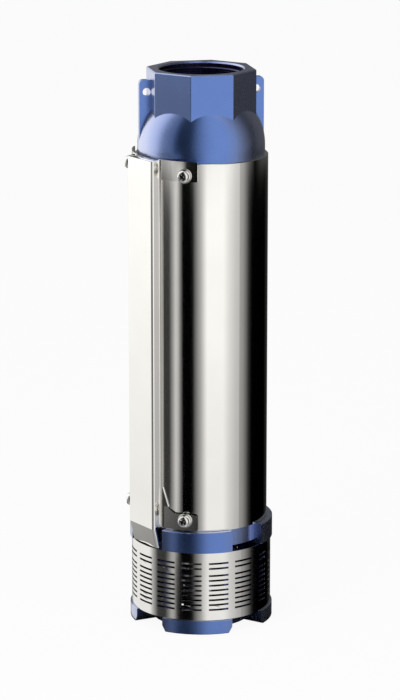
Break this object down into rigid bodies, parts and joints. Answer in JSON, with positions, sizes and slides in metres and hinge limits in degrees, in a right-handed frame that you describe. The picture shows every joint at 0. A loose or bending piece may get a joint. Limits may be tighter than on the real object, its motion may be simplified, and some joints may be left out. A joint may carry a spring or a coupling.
{
  "type": "borehole submersible pump",
  "caption": "Slim multistage borehole pump end: steel shell, blue cast head and suction casing, slotted strainer, cable guard, turning rotor and sprung check valve.",
  "frame": {"origin": "centre of the face that seats on the motor, at the bottom of the suction casing's feet", "axes": "+Z along the pump axis towards the outlet, -Y towards the middle of the cable guard"},
  "size_m": [0.1502, 0.1523, 0.5913],
  "materials": {
    "polished_steel": "polished",
    "blue_casting": "gloss",
    "screw_steel": "satin",
    "inner_steel": "satin",
    "spring_steel": "satin",
    "shaft_steel": "satin",
    "impeller_steel": "satin",
    "bowl_casting": "matte",
    "wear_bronze": "satin",
    "bearing_rubber": "matte",
    "nitrile_rubber": "matte"
  },
  "bodies": {
    "pump_body": {"bowl_1": "bowl_casting", "bowl_2": "bowl_casting", "bowl_3": "bowl_casting", "cable_guard": "polished_steel", "casing_o_ring": "nitrile_rubber", "discharge_head": "blue_casting", "guard_screws": "screw_steel", "guard_washers": "screw_steel", "head_o_ring": "nitrile_rubber", "lower_bush": "bearing_rubber", "neck_ring_1": "wear_bronze", "neck_ring_2": "wear_bronze", "neck_ring_3": "wear_bronze", "shell": "polished_steel", "stage_bush_1": "bearing_rubber", "stage_bush_2": "bearing_rubber", "stage_bush_3": "bearing_rubber", "strainer": "polished_steel", "suction_casing": "blue_casting", "valve_cage": "inner_steel", "valve_seat": "inner_steel", "valve_spring": "spring_steel"},
    "rotor": {"coupling_screw": "screw_steel", "impeller_1": "impeller_steel", "impeller_2": "impeller_steel", "impeller_3": "impeller_steel", "pump_shaft": "shaft_steel", "shaft_coupling": "shaft_steel", "shaft_nut": "shaft_steel", "shaft_sleeve_1": "shaft_steel", "shaft_sleeve_2": "shaft_steel", "shaft_sleeve_3": "shaft_steel", "shaft_sleeve_4": "shaft_steel", "shaft_washer": "shaft_steel"},
    "check_valve": {"valve_disc": "inner_steel", "valve_seal": "nitrile_rubber"}
  },
  "joints": [
    {"name": "rotor_spin", "type": "hinge", "parent": "pump_body", "child": "rotor", "pos_m": [0, 0, 0], "axis": [0, 0, 1], "continuous": true},
    {"name": "valve_lift", "type": "slide", "parent": "pump_body", "child": "check_valve", "axis": [0, 0, 1], "range_m": [0, 0.022], "stiffness_N_per_m": 400, "springref_m": -0.02, "deforming": ["valve_spring"]}
  ]
}
